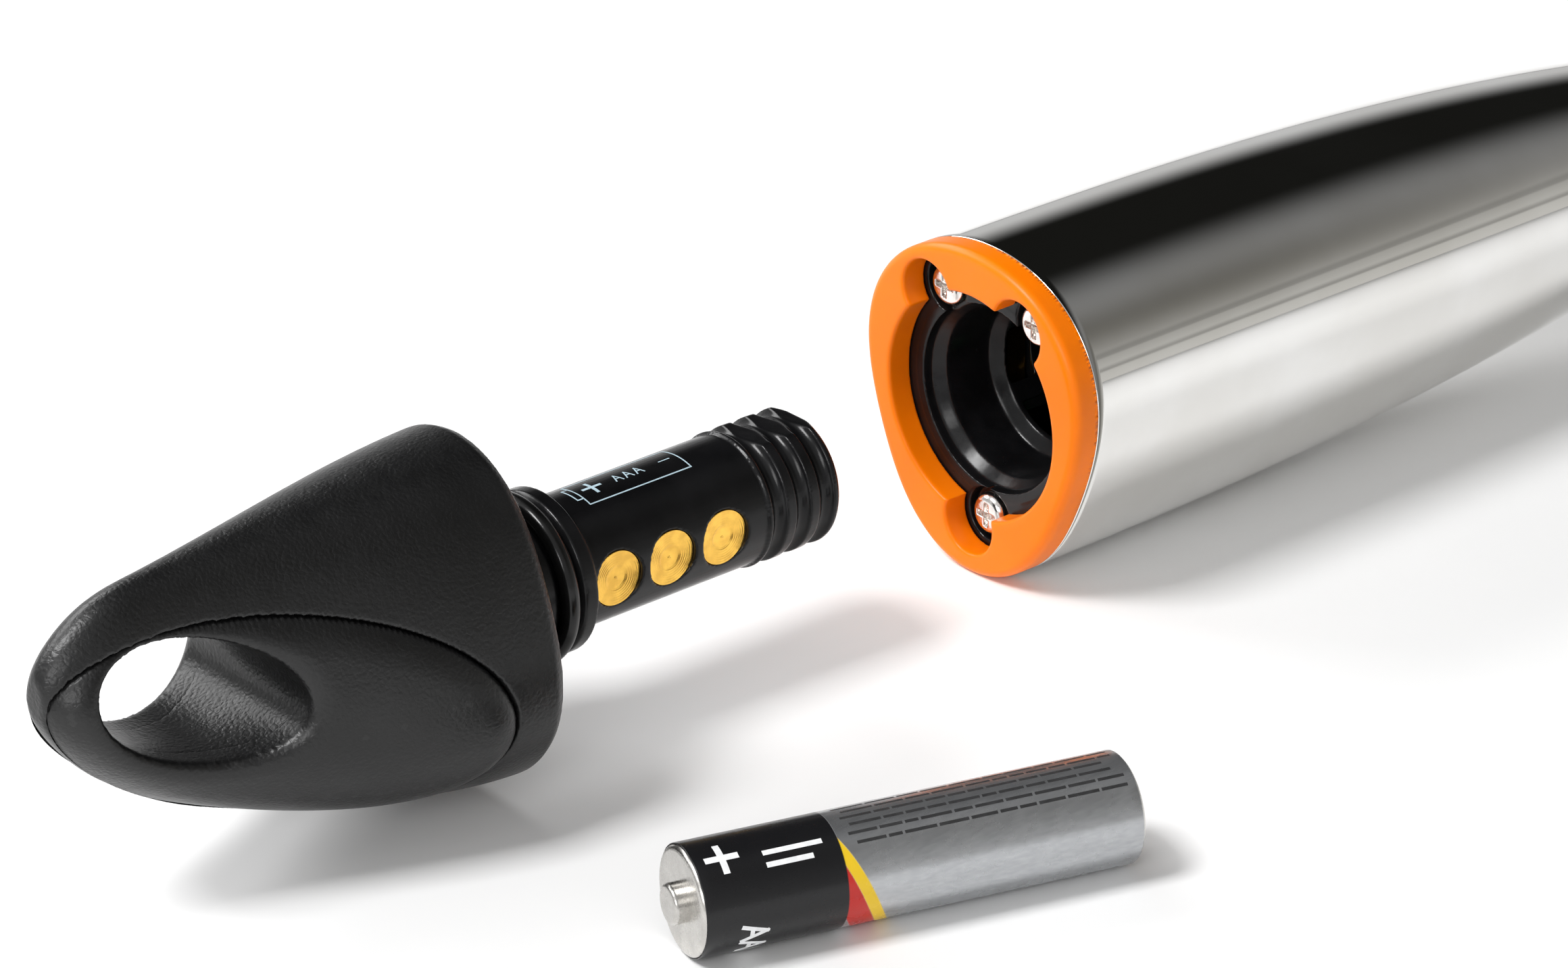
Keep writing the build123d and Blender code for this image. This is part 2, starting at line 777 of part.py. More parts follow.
def make_battery_contacts():
    contacts = []
    face = tube_radius - running_fit
    for station in contact_stations:
        x = base_x + station
        disc = contact_bar(x, contact_radius) & rod(x - dish_radius, x + dish_radius, face)
        dish = Pos(x, -(face - dish_depth + dish_radius), 0) * Sphere(dish_radius)
        contacts.append(disc - dish)
    return Compound(children=contacts)


def make_positive_terminal():
    start = base_x + bay_floor
    return rod(start, start + terminal_thickness, terminal_radius)


def make_cap_o_ring():
    ring = Torus(o_ring_outer - o_ring_wire, o_ring_wire)
    return Plane.YZ.offset(base_x + o_ring_station) * ring


# ---- the cell, laid aside on the ground ----
def cell_place():
    return Pos(cell_x, cell_y, floor_z + cell_radius) * Rot(0, 0, cell_turn)


def make_cell_can():
    half = cell_length / 2
    can = rod(-half + cell_nub_length, half, cell_radius - jacket_thickness - film_gap)
    return cell_place() * fillet(can.edges().filter_by(GeomType.CIRCLE), can_round)


def make_cell_jacket():
    half = cell_length / 2
    jacket = rod(-half + cell_nub_length + cell_cap_gap, half - cell_cap_gap, cell_radius)
    jacket -= rod(-half - cut_over, half + cut_over, cell_radius - jacket_thickness)
    return cell_place() * jacket


def make_cell_nub():
    half = cell_length / 2
    nub = rod(-half, -half + cell_nub_length, cell_nub_radius)
    return cell_place() * fillet(nub.edges().sort_by(Axis.X)[0], nub_round)


MAKERS = {
    "body_shell": make_body_shell,
    "end_ring": make_end_ring,
    "ring_screws": make_ring_screws,
    "socket_liner": make_socket_liner,
    "mount_frame": make_mount_frame,
    "socket_board": make_socket_board,
    "contact_springs": make_contact_springs,
    "tail_spring": make_tail_spring,
    "main_board": make_main_board,
    "board_chips": make_board_chips,
    "buzzer": make_buzzer,
    "vibration_motor": make_vibration_motor,
    "motor_weight": make_motor_weight,
    "tact_switch": make_tact_switch,
    "control_collar": make_control_collar,
    "collar_seal": make_collar_seal,
    "button_bezel": make_button_bezel,
    "power_button": make_power_button,
    "led_lens": make_led_lens,
    "lamp": make_lamp,
    "probe_tube": make_probe_tube,
    "nose_cap": make_nose_cap,
    "ferrite_rod": make_ferrite_rod,
    "coil_bobbin": make_coil_bobbin,
    "search_coil": make_search_coil,
    "cap_body": make_cap_body,
    "cap_pad_left": lambda: make_cap_pad(1),
    "cap_pad_right": lambda: make_cap_pad(-1),
    "battery_carrier": make_battery_carrier,
    "battery_contacts": make_battery_contacts,
    "positive_terminal": make_positive_terminal,
    "cap_o_ring": make_cap_o_ring,
    "cell_can": make_cell_can,
    "cell_jacket": make_cell_jacket,
    "cell_nub": make_cell_nub,
}

os.makedirs("parts", exist_ok=True)
for node, make in MAKERS.items():
    solid = Pos(-probe_centre, 0, 0) * make()
    export_step(solid, f"parts/{node}.step")

print("insert travel", round(insert_travel, 3), "origin to ring face", round(probe_centre, 3))
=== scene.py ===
import json
import math

import bmesh
import bpy
from mathutils import Matrix, Vector


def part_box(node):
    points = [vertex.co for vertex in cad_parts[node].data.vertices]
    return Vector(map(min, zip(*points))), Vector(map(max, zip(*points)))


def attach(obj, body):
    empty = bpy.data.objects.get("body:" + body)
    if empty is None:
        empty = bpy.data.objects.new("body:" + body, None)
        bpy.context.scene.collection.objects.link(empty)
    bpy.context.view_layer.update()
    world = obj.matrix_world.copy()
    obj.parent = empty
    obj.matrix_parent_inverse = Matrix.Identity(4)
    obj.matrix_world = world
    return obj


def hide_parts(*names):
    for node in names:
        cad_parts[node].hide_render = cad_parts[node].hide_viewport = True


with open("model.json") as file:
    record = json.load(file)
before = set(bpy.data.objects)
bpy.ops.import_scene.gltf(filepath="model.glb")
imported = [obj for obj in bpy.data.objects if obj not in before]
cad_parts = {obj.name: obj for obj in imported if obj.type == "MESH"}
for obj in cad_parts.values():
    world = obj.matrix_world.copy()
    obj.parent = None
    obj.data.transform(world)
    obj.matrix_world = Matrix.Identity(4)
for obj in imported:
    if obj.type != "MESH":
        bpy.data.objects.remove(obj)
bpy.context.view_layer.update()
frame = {"nodes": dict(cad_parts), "record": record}

MM = 0.001

# ---- where things are, worked out from the frame, in millimetres along X ----
RING_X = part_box("end_ring")[0].x / MM                 # the ring's open face
SHELL_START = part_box("body_shell")[0].x / MM
SHELL_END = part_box("body_shell")[1].x / MM
CAP_BASE_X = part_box("cap_body")[1].x / MM             # the cap's base plane
FLOOR_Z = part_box("end_ring")[0].z
SHELL_LENGTH = SHELL_END - RING_X

# the body's section, as the CAD model has it
SECTION_HEIGHT = 34.0
SECTION_WIDTH = 29.7
SECTION_LOBE = 0.85
SHELL_CURVE = 2.8
SHELL_WALL = 1.0
COLLAR_RADIUS = 10.5
MEAN_RADIUS = (SECTION_HEIGHT + SECTION_WIDTH) / 4
SHELL_WAIST = 1 - COLLAR_RADIUS / MEAN_RADIUS
STRETCH = (SECTION_HEIGHT - SECTION_WIDTH) / 4

TUBE_RADIUS = 6.45
CONTACT_RADIUS = 2.7
CONTACT_STATIONS = (13.5, 19.9, 26.3)
CELL_RADIUS = 5.25
CELL_TURN = math.radians(-17.0)

# the cap's side ovals: length, width, fullness, centre back from the base, centre height
PAD_OVAL = (43.4, 20.4, 0.16, 26.2, -0.9)
LOOP_OVAL = (19.5, 11.3, 0.0, 33.6, 3.2)
CAP_TILT = math.radians(17.6)

# rolled rims: how far in they reach and how deep they drop
PAD_ROLL = (3.4, 1.7)
LOOP_ROLL = (2.2, 1.2)
PAD_CORE = 1.3                # a pad's surface isn't moved nearer the middle plane than this
RING_BACK = 2.795             # the ring's back plane, measured from its face

# raised print: how high it stands and how far it is sunk into what it is printed on
INK_HEIGHT = 0.012
CARRIER_INK_SUNK = 0.005
CELL_INK_SUNK = 0.008


# ---- camera ----
def make_camera():
    """The viewing angle of the photograph, long lens, aimed left of and below the ring."""
    azimuth, elevation = math.radians(-41), math.radians(26)
    distance, focal = 0.68, 162.0
    aim_left, aim_down = 0.0178, 0.0074
    right = Vector((math.cos(azimuth), math.sin(azimuth), 0))
    back = Vector((math.sin(azimuth) * math.cos(elevation),
                   -math.cos(azimuth) * math.cos(elevation), math.sin(elevation)))
    up = back.cross(right)
    ring_centre = Vector((RING_X * MM, 0, 0))
    target = ring_centre - right * aim_left - up * aim_down
    data = bpy.data.cameras.new("camera")
    data.lens = focal
    data.sensor_width = 36.0
    data.clip_start, data.clip_end = 0.01, 50.0
    camera = bpy.data.objects.new("camera", data)
    bpy.context.scene.collection.objects.link(camera)
    camera.location = target + back * distance
    camera.rotation_mode = "QUATERNION"
    camera.rotation_quaternion = (-back).to_track_quat("-Z", "Y")
    bpy.context.scene.camera = camera


# ---- node helpers ----
class Nodes:
    """A material or world being wired up."""

    def __init__(self, tree):
        self.tree = tree
        tree.nodes.clear()

    def add(self, kind, **settings):
        node = self.tree.nodes.new(kind)
        for key, value in settings.items():
            setattr(node, key, value)
        return node

    def link(self, a, b):
        self.tree.links.new(a, b)

    def math(self, operation, a, b=0.0, clamp=False):
        node = self.add("ShaderNodeMath", operation=operation, use_clamp=clamp)
        for socket, value in zip(node.inputs, (a, b)):
            if isinstance(value, (int, float)):
                socket.default_value = value
            else:
                self.link(value, socket)
        return node.outputs[0]

    def step(self, value, low, high):
        """0 below low, 1 above high, smooth between."""
        node = self.add("ShaderNodeMapRange", interpolation_type="SMOOTHSTEP")
        node.inputs["From Min"].default_value = low
        node.inputs["From Max"].default_value = high
        self.link(value, node.inputs["Value"])
        return node.outputs[0]

    def below(self, value, low, high):
        """1 below low, 0 above high, smooth between."""
        return self.math("SUBTRACT", 1.0, self.step(value, low, high))

    def spread(self, value, low, high):
        """Maps 0 to 1 onto low to high."""
        node = self.add("ShaderNodeMapRange")
        node.inputs["To Min"].default_value = low
        node.inputs["To Max"].default_value = high
        self.link(value, node.inputs["Value"])
        return node.outputs[0]

    def mix(self, factor, a, b):
        node = self.add("ShaderNodeMix", data_type="RGBA")
        self.link(factor, node.inputs[0])
        for socket, value in ((node.inputs[6], a), (node.inputs[7], b)):
            if isinstance(value, (tuple, list)):
                socket.default_value = (*value[:3], 1)
            else:
                self.link(value, socket)
        return node.outputs[2]

    def coords(self, stretch=(1, 1, 1)):
        """The piece's own coordinates in millimetres, stretched."""
        place = self.add("ShaderNodeTexCoord")
        mapping = self.add("ShaderNodeMapping")
        mapping.inputs["Scale"].default_value = [s / MM for s in stretch]
        self.link(place.outputs["Object"], mapping.inputs["Vector"])
        return mapping.outputs[0]

    def noise(self, size, detail=3.0, stretch=(1, 1, 1)):
        """Noise whose blotches are about size millimetres across."""
        node = self.add("ShaderNodeTexNoise")
        node.inputs["Scale"].default_value = 1 / size
        node.inputs["Detail"].default_value = detail
        self.link(self.coords(stretch), node.inputs["Vector"])
        return node.outputs["Fac"]

    def cells(self, size, feature="F1"):
        node = self.add("ShaderNodeTexVoronoi", feature=feature)
        node.inputs["Scale"].default_value = 1 / size
        self.link(self.coords(), node.inputs["Vector"])
        return node.outputs["Distance"]

    def bump(self, height, depth, strength=1.0, under=None):
        """Bump whose relief is depth millimetres."""
        node = self.add("ShaderNodeBump")
        node.inputs["Strength"].default_value = strength
        node.inputs["Distance"].default_value = depth * MM
        self.link(height, node.inputs["Height"])
        if under is not None:
            self.link(under, node.inputs["Normal"])
        return node.outputs[0]


MATERIALS = {}               # name: (material, nodes, shader)


def start_material(name):
    """A new material with a principled shader that is still to be set."""
    material = bpy.data.materials.new(name)
    material.use_nodes = True
    nodes = Nodes(material.node_tree)
    shader = nodes.add("ShaderNodeBsdfPrincipled")
    output = nodes.add("ShaderNodeOutputMaterial")
    nodes.link(shader.outputs[0], output.inputs[0])
    MATERIALS[name] = (material, nodes, shader)
    return material, nodes, shader


def finish(name, colour, rough, metal=0.0, vary=0.12, blotch=4.0, rough_vary=0.08,
           grain=None, edge_wear=0.0, **sockets):
    """A material with its own colour variation, uneven roughness and relief.

    grain is (size, depth) in millimetres of a fine moulded texture, or None.
    """
    _, nodes, shader = start_material(name)
    shader.inputs["Metallic"].default_value = metal
    for key, value in sockets.items():
        shader.inputs[key.replace("_", " ")].default_value = value
    blot = nodes.noise(blotch, 5.0)
    dark = [c * (1 - vary) for c in colour]
    light = [min(1.0, c * (1 + vary)) for c in colour]
    shade = nodes.mix(nodes.step(blot, 0.3, 0.7), dark, light)
    if edge_wear:
        geometry = nodes.add("ShaderNodeNewGeometry")
        worn = nodes.step(geometry.outputs["Pointiness"], 0.51, 0.56)
        worn = nodes.math("MULTIPLY", worn, edge_wear)
        shade = nodes.mix(worn, shade, [min(1.0, c * 1.6 + 0.03) for c in colour])
    nodes.link(shade, shader.inputs["Base Color"])
    fine = nodes.noise(blotch * 0.3, 6.0)
    uneven = nodes.spread(fine, max(0.02, rough - rough_vary), rough + rough_vary)
    nodes.link(uneven, shader.inputs["Roughness"])
    normal = nodes.bump(nodes.noise(blotch * 0.5, 2.0), 0.012)
    if grain:
        size, depth = grain
        normal = nodes.bump(nodes.noise(size, 4.0), depth, under=normal)
    nodes.link(normal, shader.inputs["Normal"])


def leather_grain(name):
    """Adds the cap's fine pebbled grain to a finished material."""
    _, nodes, shader = MATERIALS[name]
    pebbles = nodes.cells(0.34, "SMOOTH_F1")
    creases = nodes.cells(0.62, "DISTANCE_TO_EDGE")
    normal = nodes.bump(pebbles, 0.045, 0.8)
    normal = nodes.bump(nodes.step(creases, 0.0, 0.14), 0.015, 0.4, under=normal)
    nodes.link(normal, shader.inputs["Normal"])


def polished_metal():
    """Mirror-polished steel with faint lengthwise polishing lines and smudges."""
    _, nodes, shader = start_material("polished_steel")
    shader.inputs["Metallic"].default_value = 1.0
    smudge = nodes.step(nodes.noise(14.0, 4.0), 0.35, 0.75)
    steel = nodes.mix(smudge, (0.80, 0.79, 0.765), (0.87, 0.865, 0.85))
    nodes.link(steel, shader.inputs["Base Color"])
    lines = nodes.noise(0.5, 2.0, stretch=(0.012, 1, 1))
    rough = nodes.spread(nodes.math("MULTIPLY", smudge, lines), 0.035, 0.10)
    nodes.link(rough, shader.inputs["Roughness"])
    waves = nodes.bump(nodes.noise(26.0, 1.0, stretch=(0.35, 1, 1)), 0.05, 0.5)
    normal = nodes.bump(lines, 0.0012, 0.5, under=waves)
    nodes.link(normal, shader.inputs["Normal"])


def circuit_board():
    """Green solder mask over copper tracks, with gold pads."""
    finish("circuit_board", (0.012, 0.16, 0.06), 0.28, vary=0.1)
    _, nodes, shader = MATERIALS["circuit_board"]
    split = nodes.add("ShaderNodeSeparateXYZ")
    nodes.link(nodes.coords(), split.inputs[0])
    across = nodes.math("PINGPONG", split.outputs["Y"], 0.55)
    broken = nodes.step(nodes.noise(3.5, 0.0, stretch=(1, 0.2, 1)), 0.45, 0.5)
    track = nodes.math("MULTIPLY", nodes.step(across, 0.33, 0.36), broken)
    pads = nodes.step(nodes.noise(1.7, 0.0), 0.68, 0.69)
    mask = nodes.mix(track, (0.012, 0.15, 0.055), (0.03, 0.26, 0.09))
    nodes.link(nodes.mix(pads, mask, (0.85, 0.60, 0.18)), shader.inputs["Base Color"])


def cell_film():
    """Printed film: black end band, silver body, a red and yellow flash and no lettering.

    The stripes are placed as shares of the film's length.
    """
    _, nodes, shader = start_material("cell_label")
    red_start, yellow_start, silver_start, blur = 0.205, 0.262, 0.290, 0.004
    flash_start, band_end = 0.31, 0.318
    uv = nodes.add("ShaderNodeUVMap", uv_map="UVMap")
    split = nodes.add("ShaderNodeSeparateXYZ")
    nodes.link(uv.outputs[0], split.inputs[0])
    along, around = split.outputs["X"], split.outputs["Y"]
    fleck = nodes.noise(0.35, 2.0, stretch=(0.08, 1, 1))
    silver = nodes.mix(fleck, (0.36, 0.37, 0.385), (0.52, 0.53, 0.545))
    # the flash is a pointed band that sweeps back from the black end over part of the girth
    sweep = nodes.math("MULTIPLY", nodes.math("PINGPONG", around, 0.5), 0.34)
    edge = nodes.math("SUBTRACT", along, sweep)

    def stripe(start, end):
        """The part of the flash from start to end along its slanted edge."""
        begun = nodes.math("MULTIPLY", nodes.step(edge, start, start + blur),
                           nodes.step(along, flash_start, flash_start + 0.002))
        return nodes.math("MULTIPLY", begun, nodes.below(edge, end, end + blur))

    yellow = stripe(yellow_start, silver_start)
    red = stripe(red_start, yellow_start)
    shade = nodes.mix(red, silver, (0.48, 0.02, 0.015))
    shade = nodes.mix(yellow, shade, (0.75, 0.50, 0.02))
    band = nodes.below(along, band_end, band_end + 0.003)
    shade = nodes.mix(band, shade, (0.008, 0.008, 0.009))
    nodes.link(shade, shader.inputs["Base Color"])
    inked = nodes.math("MAXIMUM", band, nodes.math("MAXIMUM", red, yellow))
    nodes.link(nodes.spread(inked, 0.85, 0.0), shader.inputs["Metallic"])
    nodes.link(nodes.spread(nodes.noise(2.5, 4.0), 0.20, 0.34), shader.inputs["Roughness"])
    nodes.link(nodes.bump(nodes.noise(3.0, 2.0), 0.015), shader.inputs["Normal"])
    shader.inputs["Specular IOR Level"].default_value = 0.3
    shader.inputs["Coat Weight"].default_value = 0.12
    shader.inputs["Coat Roughness"].default_value = 0.12


def make_materials():
    polished_metal()
    circuit_board()
    cell_film()
    finish("orange_plastic", (0.84, 0.175, 0.0), 0.34, vary=0.05, blotch=9.0, rough_vary=0.05,
           grain=(0.25, 0.003), Specular_IOR_Level=0.22, Subsurface_Weight=0.08, Subsurface_Scale=0.0006)
    finish("screw_steel", (0.82, 0.79, 0.76), 0.16, metal=1.0, vary=0.1, blotch=0.8, grain=(0.12, 0.004))
    finish("socket_plastic", (0.005, 0.005, 0.0055), 0.24, vary=0.3, blotch=3.0, grain=(0.2, 0.003),
           Specular_IOR_Level=0.28)
    finish("gold", (0.93, 0.53, 0.10), 0.20, metal=1.0, vary=0.14, blotch=1.2, rough_vary=0.07)
    finish("spring_steel", (0.60, 0.60, 0.61), 0.28, metal=1.0, grain=(0.15, 0.003))
    finish("chip_black", (0.02, 0.02, 0.021), 0.55, vary=0.25, blotch=1.0, grain=(0.1, 0.01))
    finish("weight_metal", (0.33, 0.33, 0.35), 0.42, metal=1.0, grain=(0.15, 0.01))
    finish("probe_plastic", (0.009, 0.009, 0.010), 0.42, vary=0.25, blotch=8.0, grain=(0.32, 0.02),
           edge_wear=0.3, Specular_IOR_Level=0.35)
    finish("seal_rubber", (0.004, 0.004, 0.004), 0.20, vary=0.3, blotch=2.0, rough_vary=0.06,
           Specular_IOR_Level=0.4)
    finish("button_rubber", (0.05, 0.05, 0.052), 0.62, vary=0.2, blotch=2.0, grain=(0.2, 0.02))
    finish("lens_clear", (0.92, 0.95, 0.96), 0.06, vary=0.02, blotch=1.0, rough_vary=0.03,
           Transmission_Weight=0.9, IOR=1.49)
    finish("ferrite", (0.06, 0.06, 0.063), 0.6, vary=0.3, blotch=1.5, grain=(0.2, 0.02))
    finish("bobbin_plastic", (0.60, 0.56, 0.47), 0.5, vary=0.08, grain=(0.3, 0.01))
    finish("copper_wire", (0.72, 0.28, 0.09), 0.24, metal=1.0, vary=0.15, blotch=1.5)
    finish("cap_plastic", (0.0045, 0.0045, 0.0047), 0.36, vary=0.22, blotch=6.0, edge_wear=0.2,
           Specular_IOR_Level=0.45)
    leather_grain("cap_plastic")
    finish("carrier_plastic", (0.0045, 0.0045, 0.005), 0.22, vary=0.25, blotch=4.0, grain=(0.3, 0.002),
           Specular_IOR_Level=0.28)
    finish("cell_steel", (0.56, 0.545, 0.52), 0.27, metal=1.0, vary=0.08, blotch=2.0, grain=(0.2, 0.003))
    finish("print_ink", (0.42, 0.55, 0.62), 0.45, vary=0.1, blotch=0.6)
    finish("white_ink", (0.80, 0.81, 0.82), 0.4, vary=0.06, blotch=0.6)


def material_of(slot):
    return MATERIALS[slot][0]


# ---- mesh helpers ----
def new_piece(name, vertices, faces, smooth=True):
    """A mesh piece from vertices in millimetres."""
    mesh = bpy.data.meshes.new(name)
    mesh.from_pydata([[c * MM for c in v] for v in vertices], [], faces)
    mesh.validate()
    piece = bpy.data.objects.new(name, mesh)
    bpy.context.scene.collection.objects.link(piece)
    for polygon in mesh.polygons:
        polygon.use_smooth = smooth
    return piece


def settle(piece, body, slot, *nodes):
    """Gives a piece its material, body, slot and the CAD nodes it stands for."""
    piece.data.materials.clear()
    piece.data.materials.append(material_of(slot))
    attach(piece, body)
    if nodes:
        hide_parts(*nodes)
    return piece


def outward(piece):
    """Turns every face of a piece outwards."""
    work = bmesh.new()
    work.from_mesh(piece.data)
    bmesh.ops.recalc_face_normals(work, faces=work.faces)
    work.to_mesh(piece.data)
    work.free()


def apply_modifiers(piece):
    """Bakes a piece's modifiers into its mesh."""
    graph = bpy.context.evaluated_depsgraph_get()
    done = bpy.data.meshes.new_from_object(piece.evaluated_get(graph))
    old = piece.data
    piece.modifiers.clear()
    piece.data = done
    bpy.data.meshes.remove(old)


def softened(node, name, voxel, rounds):
    """A copy of a CAD node remeshed finely and smoothed, so that moulded edges are rounded."""
    mesh = frame["nodes"][node].data.copy()
    mesh.transform(Matrix.Scale(1 / MM, 4))
    work = bmesh.new()
    work.from_mesh(mesh)
    bmesh.ops.remove_doubles(work, verts=work.verts, dist=0.0005)
    work.to_mesh(mesh)
    work.free()
    piece = bpy.data.objects.new(name, mesh)
    bpy.context.scene.collection.objects.link(piece)
    remesh = piece.modifiers.new("remesh", "REMESH")
    remesh.mode = "VOXEL"
    remesh.voxel_size = voxel
    smooth = piece.modifiers.new("smooth", "SMOOTH")
    smooth.factor = 0.5
    smooth.iterations = rounds
    apply_modifiers(piece)
    piece.data.transform(Matrix.Scale(MM, 4))
    for polygon in piece.data.polygons:
        polygon.use_smooth = True
    return piece


def oval(length, width, fullness, centre_u, centre_z):
    """One of the CAD model's side-view ovals as (x, z) points, tilted as the cap's are."""
    count, tilt = 240, CAP_TILT
    points = []
    for i in range(count):
        t = 2 * math.pi * i / count
        along = length / 2 * math.cos(t)
        across = width / 2 * math.sin(t) * (1 + fullness * math.cos(t))
        along, across = (along * math.cos(tilt) + across * math.sin(tilt),
                         across * math.cos(tilt) - along * math.sin(tilt))
        points.append((CAP_BASE_X - centre_u + along, centre_z + across))
    return points


def roll_over(distance, reach, depth):
    """How far a surface drops at a distance in from its edge, as a quarter ellipse."""
    share = 1 - min(distance, reach) / reach
    return depth * (1 - math.sqrt(max(0.0, 1 - share * share)))


def round_pad(piece):
    """Rolls the pad's outer rim and the rim of the loop hole over, as the moulding has them."""
    outline, loop = oval(*PAD_OVAL), oval(*LOOP_OVAL)
    for vertex in piece.data.vertices:
        x, y, z = vertex.co / MM
        from_rim = min(math.hypot(x - px, z - pz) for px, pz in outline)
        from_loop = min(math.hypot(x - px, z - pz) for px, pz in loop)
        drop = roll_over(from_rim, *PAD_ROLL) + roll_over(from_loop, *LOOP_ROLL)
        vertex.co.y = (y - math.copysign(min(drop, abs(y) - PAD_CORE), y)) * MM


def square_back(piece):
    """Keeps the ring's back edge full where it meets the polished body."""
    side_from, side_depth = 1.5, 0.5      # the outer skin: where it starts and how deep it counts
    back_from, back_depth = 2.5, 0.7      # and the same for the back plane
    for vertex in piece.data.vertices:
        x, y, z = vertex.co / MM
        along, r, angle = x - RING_X, math.hypot(y, z), math.atan2(y, z)
        full = shell_radius(0.0, angle, 0.0)
        skin = full - 0.005
        if along > side_from and r > full - side_depth:
            vertex.co.y, vertex.co.z = skin * math.sin(angle) * MM, skin * math.cos(angle) * MM
        if along > back_from and r > full - back_depth:
            vertex.co.x = (RING_X + RING_BACK) * MM


def shell_radius(x, angle, inset):
    """The polished body's radius at x from the ring face, angle from the top."""
    share = x / SHELL_LENGTH
    three = 1 - share ** 2
    r = MEAN_RADIUS + three * (STRETCH * math.cos(2 * angle) - SECTION_LOBE * math.cos(3 * angle))
    return r * (1 - SHELL_WAIST * share ** SHELL_CURVE) - inset


def make_body_shell():
    """The polished skin: smooth outside, rolled edges at both ends, the wall's inside behind."""
    around, along, roll, inside = 192, 120, 6, 24
    start, end = SHELL_START - RING_X, SHELL_END - RING_X
    edge = 0.12

    def rolled(rim, inward, i):
        """Place and inset of the i-th ring of a rolled edge; inward is the way into the shell."""
        a = math.pi / 2 * i / roll
        return rim + inward * edge * (1 - math.sin(a)), edge * (1 - math.cos(a))

    rings = [rolled(start, 1, i) for i in reversed(range(roll))]
    rings += [(start + edge + (end - start - 2 * edge) * i / along, 0.0) for i in range(along + 1)]
    rings += [rolled(end, -1, i) for i in range(1, roll + 1)]
    rings += [(end - (end - start) * i / inside, SHELL_WALL) for i in range(inside + 1)]
    vertices, faces = [], []
    for x, inset in rings:
        for j in range(around):
            a = 2 * math.pi * j / around
            r = shell_radius(min(max(x, 0), SHELL_LENGTH), a, inset)
            vertices.append((RING_X + x, r * math.sin(a), r * math.cos(a)))
    count = len(rings)
    for i in range(count):
        for j in range(around):
            a, b = i * around + j, i * around + (j + 1) % around
            following = ((i + 1) % count) * around
            faces.append((a, b, following + (j + 1) % around, following + j))
    piece = new_piece("polished_body", vertices, faces)
    outward(piece)
    settle(piece, "housing", "polished_steel", "body_shell")


def on_tube(x, girth, radius):
    """Point on the carrier tube: x along, girth millimetres round from the top towards -Y."""
    a = girth / TUBE_RADIUS
    return (x, -radius * math.sin(a), radius * math.cos(a))


def ribbon(path, width, place, height):
    """Raised strip of the given width along a path of flat (along, across) points."""
    vertices, faces = [], []
    for (x0, y0), (x1, y1) in zip(path, path[1:]):
        length = math.hypot(x1 - x0, y1 - y0)
        ux, uy = (x1 - x0) / length, (y1 - y0) / length
        steps = max(1, int(length / 0.4))
        base = len(vertices)
        for i in range(steps + 1):
            reach = -width / 2 + (length + width) * i / steps
            px, py = x0 + ux * reach, y0 + uy * reach
            for side in (-1, 1):
                for level in (0, 1):
                    vertices.append(place(px - uy * side * width / 2, py + ux * side * width / 2,
                                          height * level))
        for i in range(steps):
            k = base + 4 * i
            faces += [(k + 1, k + 3, k + 7, k + 5), (k, k + 1, k + 5, k + 4),
                      (k + 3, k + 2, k + 6, k + 7), (k + 2, k, k + 4, k + 6)]
        k = base + 4 * steps
        faces += [(base, base + 2, base + 3, base + 1), (k, k + 1, k + 3, k + 2)]
    return vertices, faces


def joined_ribbons(name, paths, width, place, height):
    """One piece made of a ribbon along every path."""
    vertices, faces = [], []
    for path in paths:
        more_vertices, more_faces = ribbon(path, width, place, height)
        shift = len(vertices)
        vertices += more_vertices
        faces += [tuple(k + shift for k in face) for face in more_faces]
    piece = new_piece(name, vertices, faces, smooth=False)
    outward(piece)
    return piece


def letter_a(x, y, size, flip):
    """Strokes of a capital A as (along, across) points; flip turns it upside down."""
    s = -1 if flip else 1
    foot, bar, bar_drop = s * size * 0.36, s * size * 0.2, s * size * 0.12
    return [[(x - foot, y - s * size / 2), (x, y + s * size / 2), (x + foot, y - s * size / 2)],
            [(x - bar, y - bar_drop), (x + bar, y - bar_drop)]]


def plus(x, y, size):
    """Strokes of a plus sign."""
    return [[(x - size / 2, y), (x + size / 2, y)], [(x, y - size / 2), (x, y + size / 2)]]


def make_carrier_print():
    """The printed cell symbol on the carrier tube, which shows the way the cell goes in."""
    x0, x1 = CAP_BASE_X + 13.6, CAP_BASE_X + 25.7
    low, high = -2.3, 2.1
    middle = (low + high) / 2
    nub_half, nub_length = 1.2, 0.7
    plus_at, plus_size = 1.9, 1.9
    letters_at, letter_pitch, letter_size = 4.9, 1.25, 1.15
    minus_from, minus_to = 2.1, 0.9

    def place(along, across, up):
        return on_tube(along, across, TUBE_RADIUS - CARRIER_INK_SUNK + up)

    outline = [[(x0, low), (x1, low), (x1, high), (x0, high), (x0, low)],
               [(x0, middle - nub_half), (x0 - nub_length, middle - nub_half),
                (x0 - nub_length, middle + nub_half), (x0, middle + nub_half)]]
    marks = [[(x1 - minus_from, middle), (x1 - minus_to, middle)]]
    for i in range(3):
        marks += letter_a(x0 + letters_at + letter_pitch * i, middle, letter_size, True)
    for name, paths, width in (
        ("cell_symbol", outline, 0.14),
        ("cell_symbol_marks", marks, 0.13),
        ("cell_symbol_plus", plus(x0 + plus_at, middle, plus_size), 0.34),
    ):
        settle(joined_ribbons(name, paths, width, place, INK_HEIGHT), "cap", "print_ink")


